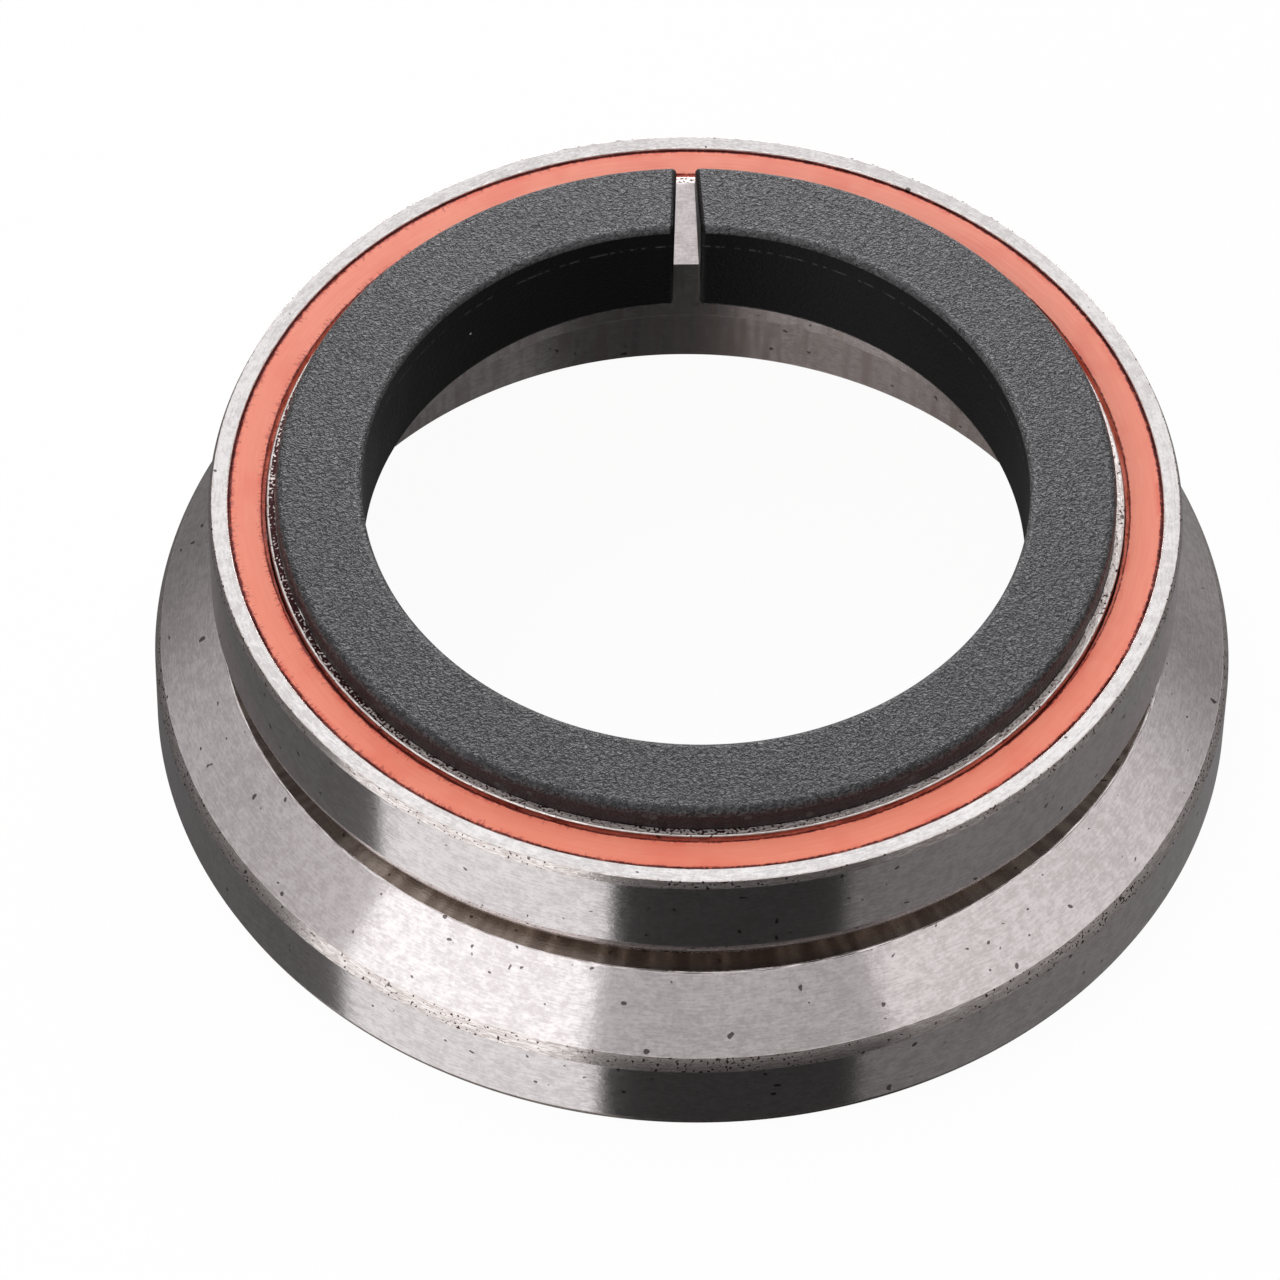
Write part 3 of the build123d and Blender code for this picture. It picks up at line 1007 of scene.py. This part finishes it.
def pocket_pattern():
    """Cuts a pocket for each ball out of the cage's own shape."""
    pattern = Pattern("Ball pockets", BALL_SIZES)
    meshes = {"Mesh 1": pattern.given("Geometry"), "Mesh 2": pattern.balls_round()}
    cut = pattern.out("GeometryNodeMeshBoolean", meshes, "Mesh", operation="DIFFERENCE", solver="EXACT")
    return pattern.close(pattern.out("GeometryNodeRealizeInstances", {"Geometry": cut}))


BALL_FACETS = 40


def ball_values(section, radius, material):
    return {
        "Balls": section.sizes.ball_count,
        "Facets": BALL_FACETS,
        "Rings": BALL_FACETS // 2,
        "Pitch radius": section.pitch,
        "Level": section.level(section.ball_height),
        "Ball radius": radius,
        "Material": material,
    }


def grown(piece, pattern, values):
    """The piece's plain mesh after the pattern has run on it, with the modifier gone."""
    modifier = piece.modifiers.new(pattern.tree.name, "NODES")
    modifier.node_group = pattern.tree
    for label, value in values.items():
        modifier[pattern.sockets[label]] = value
    graph = bpy.context.evaluated_depsgraph_get()
    result = piece.evaluated_get(graph)
    made = bpy.data.meshes.new_from_object(result, preserve_all_data_layers=True, depsgraph=graph)
    piece.modifiers.remove(modifier)
    made.name = piece.name
    piece.data = made
    work = bmesh.new()
    work.from_mesh(made)
    bmesh.ops.remove_doubles(work, verts=work.verts, dist=WELD)
    bmesh.ops.dissolve_degenerate(work, edges=work.edges, dist=WELD)
    for edge in work.edges:
        edge.smooth = len(edge.link_faces) == 2 and edge.calc_face_angle(0.0) < radians(GROWN_CREASE)
    for face in work.faces:
        face.smooth = True
    work.to_mesh(made)
    work.free()
    return piece


# Operators

class Step(bpy.types.Operator):
    """Shared by the operators: each makes its pieces or raises an error"""

    bl_options = {"REGISTER", "UNDO"}

    def execute(self, context):
        self.make(bearings())
        return {"FINISHED"}


OUTER_BODY = {"upper": "middle", "lower": "lower_shell"}
INNER_BODY = {"upper": "steerer_side", "lower": "middle"}


class HEADSET_OT_outer_races(Step):
    """Make the two outer races, with their seat chamfers"""

    bl_idname = "headset.outer_races"
    bl_label = "Outer races"

    def make(self, both):
        for level, section in both.items():
            node = f"{level}_outer_race"
            race = turned(f"{node}_ground", outer_race_profile(section), ground_steel())
            seat(race, OUTER_BODY[level], "race_steel", node)


class HEADSET_OT_inner_races(Step):
    """Make the two inner races, with their cones"""

    bl_idname = "headset.inner_races"
    bl_label = "Inner races"

    def make(self, both):
        for level, section in both.items():
            node = f"{level}_inner_race"
            race = turned(f"{node}_ground", inner_race_profile(section), ground_steel())
            seat(race, INNER_BODY[level], "race_steel", node)


SEAL_SEED, SEAL_SEED_STEP = 3, 11


class HEADSET_OT_seals(Step):
    """Make the four rubber seals"""

    bl_idname = "headset.seals"
    bl_label = "Seals"

    def make(self, both):
        for level, section in both.items():
            sides = {"top": cone_side_seat(section), "bottom": seat_side_seat(section)}
            if section.up < 0:
                sides = {"top": sides["bottom"], "bottom": sides["top"]}
            for count, (side, place) in enumerate(sides.items()):
                node = f"{level}_{side}_seal"
                profile = seal_profile(section, place)
                seal = turned(f"{node}_rubber", profile, coral_rubber(), SEAL_SEED + SEAL_SEED_STEP * count)
                seat(seal, OUTER_BODY[level], "seal_rubber", node)


class HEADSET_OT_ball_cages(Step):
    """Make the two crown cages, with a pocket for each ball"""

    bl_idname = "headset.ball_cages"
    bl_label = "Ball cages"

    def make(self, both):
        pattern = pocket_pattern()
        for level, section in both.items():
            node = f"{level}_ball_cage"
            cage = turned(f"{node}_moulded", cage_profile(section), cage_nylon())
            pocket = section.ball + section.common.pocket_gap
            grown(cage, pattern, ball_values(section, pocket, cage_nylon()))
            seat(cage, f"{level}_cage", "cage_plastic", node)


class HEADSET_OT_balls(Step):
    """Make the balls of both bearings"""

    bl_idname = "headset.balls"
    bl_label = "Balls"

    def make(self, both):
        pattern = ball_pattern()
        for level, section in both.items():
            name = f"{level}_balls_polished"
            empty = linked(name, bpy.data.meshes.new(name))
            balls = grown(empty, pattern, ball_values(section, section.ball, polished_steel()))
            nodes = (f"{level}_ball_{i + 1:02d}" for i in range(section.sizes.ball_count))
            seat(balls, f"{level}_cage", "ball_steel", *nodes)


class HEADSET_OT_compression_ring(Step):
    """Make the split compression ring"""

    bl_idname = "headset.compression_ring"
    bl_label = "Compression ring"

    def make(self, both):
        ring = split_ring("compression_ring_moulded", ring_profile(both["upper"]), moulded_black())
        seat(ring, "steerer_side", "ring_black", "compression_ring")


# Studio

PLAIN, WARM = (1.0, 0.99, 0.99), (1.0, 0.91, 0.86)

# The cards that the object mirrors: name, tint, the azimuths of the sides low down and high up,
# how far away it hangs, and its glow at each elevation.
CURTAINS = (
    ("curtain_key", (1.0, 1.02, 1.02), (-78, -18), (-63, -18), 0.6,
     ((-80, 0.8), (-51, 0.95), (-30, 1.1), (-6, 1.38), (30, 1.36), (38, 1.32), (78, 1.32))),
    ("curtain_front", PLAIN, (-18, 38), (-18, 38), 0.6,
     ((-80, 0.03), (-51, 0.035), (-30, 0.06), (-6, 0.12), (15, 0.28), (38, 0.58), (57, 0.80), (78, 1.0))),
    ("curtain_right", PLAIN, (38, 180), (38, 180), 0.6,
     ((-80, 0.17), (-51, 0.19), (-30, 0.23), (-6, 0.32), (0, 0.30), (5, 0.42), (9, 0.58), (14, 0.80),
      (26, 0.86), (33, 0.90), (40, 1.0))),
    ("curtain_left", PLAIN, (-180, -78), (-180, -63), 0.6,
     ((-80, 0.115), (-51, 0.115), (-30, 0.16), (-6, 0.22), (0, 0.32), (5, 0.50), (9, 0.54), (18, 0.58),
      (26, 0.66), (33, 0.8), (40, 1.0))),
    ("curtain_back", (1.0, 1.04, 1.04), (110, 250), (110, 250), 0.6,
     ((40, 0.96), (47, 0.98), (51, 1.10), (54, 1.19), (62, 1.22), (80, 1.2))),
    ("curtain_near", PLAIN, (150, 210), (150, 210), 0.1, ((16.7, 9.0), (33, 9.0))),
)
LEAN_FROM, LEAN_TO = -51, 30  # the elevations between which the sides of a curtain lean

# The level cards: name, tint, from and to which azimuth, glow, radius and height.
DISCS = (
    ("overhead", PLAIN, -180, 180, 1.2, 0.16, 0.6),
    ("table_left", WARM, -180, -15, 0.20, 36 * MM, -40 * MM),
    ("table_front", PLAIN, -15, 60, 0.03, 36 * MM, -40 * MM),
    ("table_right", PLAIN, 60, 180, 0.12, 36 * MM, -40 * MM),
)


def bearing_point(azimuth, radius, z=0.0):
    """A point round the axis. Azimuth 0 faces the camera and grows to its right, in degrees."""
    a = radians(azimuth) + settings().studio.azimuth
    return Vector((radius * sin(a), -radius * cos(a), z))


def stage_panel(name, places, faces, material, hidden_from):
    """A sheet of the stage, and the rays that pass it by."""
    mesh = bpy.data.meshes.new(name)
    mesh.from_pydata(places, [], faces)
    mesh.materials.append(material)
    panel = linked(name, mesh)
    for ray in hidden_from:
        setattr(panel, f"visible_{ray}", False)
    return panel


def card_material(name, tint):
    """A card that glows in its tint, as strongly as its mesh says from place to place."""
    paint = Paint(name)
    return paint.close(paint.out("ShaderNodeEmission", {"Color": tint, "Strength": paint.fact("glow")}))


PASSED_BY = ("camera", "diffuse", "shadow", "transmission", "volume_scatter")


def glow_card(name, tint, rows):
    """A card that metal and gloss see, and that neither the camera nor the light does. Each row
    of places has its own glow, and the glow fades from row to row."""
    wide = len(rows[0][0])
    faces = [(k * wide + i, k * wide + i + 1, (k + 1) * wide + i + 1, (k + 1) * wide + i)
             for k in range(len(rows) - 1) for i in range(wide - 1)]
    card = stage_panel(name, [place for places, glow in rows for place in places], faces,
                       card_material(name, tint), PASSED_BY)
    store(card.data, "glow", [glow for places, glow in rows for place in places])


def curtain(name, tint, low, high, radius, levels, steps=32):
    """A curved card round the object."""
    rows = []
    for elevation, glow in levels:
        lean = min(max((elevation - LEAN_FROM) / (LEAN_TO - LEAN_FROM), 0.0), 1.0)
        start, end = (a + (b - a) * lean for a, b in zip(low, high))
        height = radius * tan(radians(elevation))
        places = [bearing_point(start + (end - start) * i / steps, radius, height) for i in range(steps + 1)]
        rows.append((places, glow))
    glow_card(name, tint, rows)


def disc_card(name, tint, start, end, glow, radius, height, steps=24):
    """A sector of a level disc, which a bore shows."""
    hub = bearing_point(0.0, 0.0, height)
    rim = [bearing_point(start + (end - start) * i / steps, radius, height) for i in range(steps + 1)]
    glow_card(name, tint, [([hub.lerp(far, 0.001) for far in rim], glow), (rim, glow)])


def floor_material(tone, own_white):
    """Pale floor: most of what the camera sees is its own white, so that the shadow stays soft."""
    paint = Paint("floor_pale")
    matt = paint.out("ShaderNodeBsdfDiffuse", {"Color": tone})
    white = paint.out("ShaderNodeEmission")
    most = paint.seen_directly() * own_white
    shown = paint.out("ShaderNodeMixShader", {0: most, 1: matt, 2: white})
    below = paint.out("ShaderNodeNewGeometry", output="Backfacing")
    clear = paint.out("ShaderNodeBsdfTransparent")
    return paint.close(paint.out("ShaderNodeMixShader", {0: below, 1: shown, 2: clear}))


def studio_world(fill):
    """White where it is seen, and an even fill of light."""
    world = bpy.data.worlds.new("Studio")
    world.use_nodes = True
    sky = Wiring(world.node_tree)
    strength = sky.choose(sky.seen_directly(), fill, 1.0)
    light = sky.out("ShaderNodeBackground", {"Color": (1.0, 1.0, 1.0), "Strength": strength})
    sky.add("ShaderNodeOutputWorld", {0: light})
    return world


def softbox(name, azimuth, elevation, width, brightness, height=0.9, distance=0.9):
    """A rectangular lamp that faces the object. Its power follows from its size and brightness."""
    light = bpy.data.lights.new(name, "AREA")
    light.shape = "RECTANGLE"
    light.size, light.size_y = width, height
    light.energy = brightness * pi * width * height
    lamp = linked(name, light)
    flat = distance * cos(radians(elevation))
    lamp.location = bearing_point(azimuth, flat, distance * sin(radians(elevation)))
    lamp.rotation_euler = (-Vector(lamp.location)).to_track_quat("-Z", "Y").to_euler()
    lamp.visible_camera = False
    lamp.visible_glossy = False


def photo_camera(s):
    """The camera, aimed beside the upper bearing's middle, then drawn back along its own sight."""
    top = Vector((0.0, 0.0, settings().lower.height + settings().upper.height))
    turn = Matrix.Rotation(s.azimuth, 3, "Z")
    level_right = Vector((1.0, 0.0, 0.0))
    sight = Vector((0.0, cos(s.elevation), -sin(s.elevation)))
    level_up = level_right.cross(sight)
    right = cos(s.roll) * level_right + sin(s.roll) * level_up
    up = -sin(s.roll) * level_right + cos(s.roll) * level_up
    place = turn @ (s.aim_right * right + s.aim_up * up - s.distance * sight) + top
    data = bpy.data.cameras.new("Camera")
    data.lens = s.lens
    data.sensor_width = 36.0
    data.clip_start, data.clip_end = 0.01, 10.0
    camera = linked("Camera", data)
    axes = turn @ Matrix((right, up, -sight)).transposed()
    camera.matrix_world = Matrix.Translation(place) @ axes.to_4x4()
    return camera


class HEADSET_OT_studio(Step):
    """Set up the floor, the soft light and the camera"""

    bl_idname = "headset.studio"
    bl_label = "Studio"

    def make(self, both):
        s = settings().studio
        scene = bpy.context.scene
        scene.view_settings.view_transform = "Standard"
        scene.world = studio_world(s.fill)
        corners = [(x * s.floor_half, y * s.floor_half, -s.floor_gap)
                   for x, y in ((-1, -1), (1, -1), (1, 1), (-1, 1))]
        stage_panel("floor", corners, [(0, 1, 2, 3)], floor_material(s.floor, s.floor_white),
                    ("diffuse", "glossy", "shadow"))
        for card in CURTAINS:
            curtain(*card)
        for card in DISCS:
            disc_card(*card)
        softbox("key_softbox", -47, 34, width=1.0, brightness=s.key)
        softbox("top_softbox", 180, 56, width=1.1, brightness=s.top)
        scene.camera = photo_camera(s)


class HEADSET_PT_panel(bpy.types.Panel):
    """Lists the steps that build the headset"""

    bl_label = "Headset"
    bl_idname = "HEADSET_PT_panel"
    bl_space_type = "VIEW_3D"
    bl_region_type = "UI"
    bl_category = "Headset"

    def draw(self, context):
        for step in STEPS:
            self.layout.operator(step.bl_idname)
        for group in ("upper", "lower", "common", "ring", "finishes", "studio"):
            box = self.layout.box()
            box.label(text=group.capitalize())
            values = getattr(context.scene.headset, group)
            for key in values.bl_rna.properties.keys():
                if key not in ("rna_type", "name"):
                    box.prop(values, key)


STEPS = (
    HEADSET_OT_outer_races,
    HEADSET_OT_inner_races,
    HEADSET_OT_seals,
    HEADSET_OT_ball_cages,
    HEADSET_OT_balls,
    HEADSET_OT_compression_ring,
    HEADSET_OT_studio,
)
GROUPS = (
    UpperBearingSizes,
    LowerBearingSizes,
    CommonSizes,
    RingSizes,
    Finishes,
    StudioSettings,
    HeadsetSettings,
)


def register():
    for item in (*GROUPS, *STEPS, HEADSET_PT_panel):
        bpy.utils.register_class(item)
    bpy.types.Scene.headset = PointerProperty(type=HeadsetSettings)


def unregister():
    del bpy.types.Scene.headset
    for item in (HEADSET_PT_panel, *reversed(STEPS), *reversed(GROUPS)):
        bpy.utils.unregister_class(item)


def main():
    register()
    for step in STEPS:
        group, name = step.bl_idname.split(".")
        getattr(getattr(bpy.ops, group), name)()


if __name__ == "__main__":
    main()
